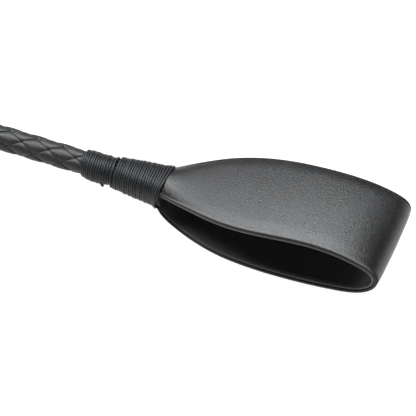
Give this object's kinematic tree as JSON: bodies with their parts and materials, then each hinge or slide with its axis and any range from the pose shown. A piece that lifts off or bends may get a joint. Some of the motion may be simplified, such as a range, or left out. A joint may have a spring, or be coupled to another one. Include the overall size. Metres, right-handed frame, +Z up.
{
  "type": "riding crop",
  "caption": "Plaited leather riding crop with a stiff core, thread whippings, a wide folded leather keeper that flexes at its neck, a capped grip and a wrist strap.",
  "frame": {"origin": "centre of the butt cap's flat end face, where the wrist strap comes out", "axes": "+X along the shaft towards the keeper, +Z up, through the keeper's upper ply, +Y across the keeper"},
  "size_m": [0.7, 0.056, 0.0323],
  "materials": {
    "fibreglass": "resin-bonded glass fibre, never seen",
    "underlay_leather": "thin split leather, rough",
    "plaited_leather": "black strap leather laces, semi-matte with a soft sheen and fine grain",
    "handle_core": "plain hardwood sleeve, never seen",
    "waxed_thread": "black waxed linen thread, close turns, dull wax sheen",
    "cap_metal": "turned and black anodised, satin",
    "pin_steel": "plain steel",
    "strap_leather": "black strap leather, edges painted",
    "keeper_leather": "smooth black finished leather, satin, fine grain, painted edges",
    "lining_leather": "smooth black lining leather, lower sheen"
  },
  "bodies": {
    "crop": {"core_rod": "fibreglass", "shaft_underlay": "underlay_leather", "shaft_plait": "plaited_leather", "grip_core": "handle_core", "grip_plait": "plaited_leather", "grip_whipping": "waxed_thread", "rear_whipping": "waxed_thread", "collar_whipping": "waxed_thread", "front_whipping": "waxed_thread", "butt_cap": "cap_metal", "cap_pin": "pin_steel", "strap_anchor": "strap_leather", "keeper_outer_tail_upper": "keeper_leather", "keeper_lining_tail_upper": "lining_leather", "keeper_outer_tail_lower": "keeper_leather", "keeper_lining_tail_lower": "lining_leather", "neck_packing": "underlay_leather"},
    "keeper": {"keeper_outer": "keeper_leather", "keeper_lining": "lining_leather"},
    "wrist_loop": {"wrist_strap": "strap_leather"},
    "slider": {"strap_slider": "strap_leather"}
  },
  "joints": [
    {"name": "keeper_flex", "type": "hinge", "parent": "crop", "child": "keeper", "pos_m": [0.465, 0, 0], "axis": [0, 1, 0], "range_deg": [-20, 20], "stiffness_Nm_per_rad": 0.4},
    {"name": "wrist_loop_swing", "type": "hinge", "parent": "crop", "child": "wrist_loop", "pos_m": [-0.002, 0, 0], "axis": [0, 0, 1], "range_deg": [-60, 60]},
    {"name": "slider_slide", "type": "slide", "parent": "wrist_loop", "child": "slider", "axis": [-1, 0, 0], "range_m": [0, 0.028]}
  ]
}
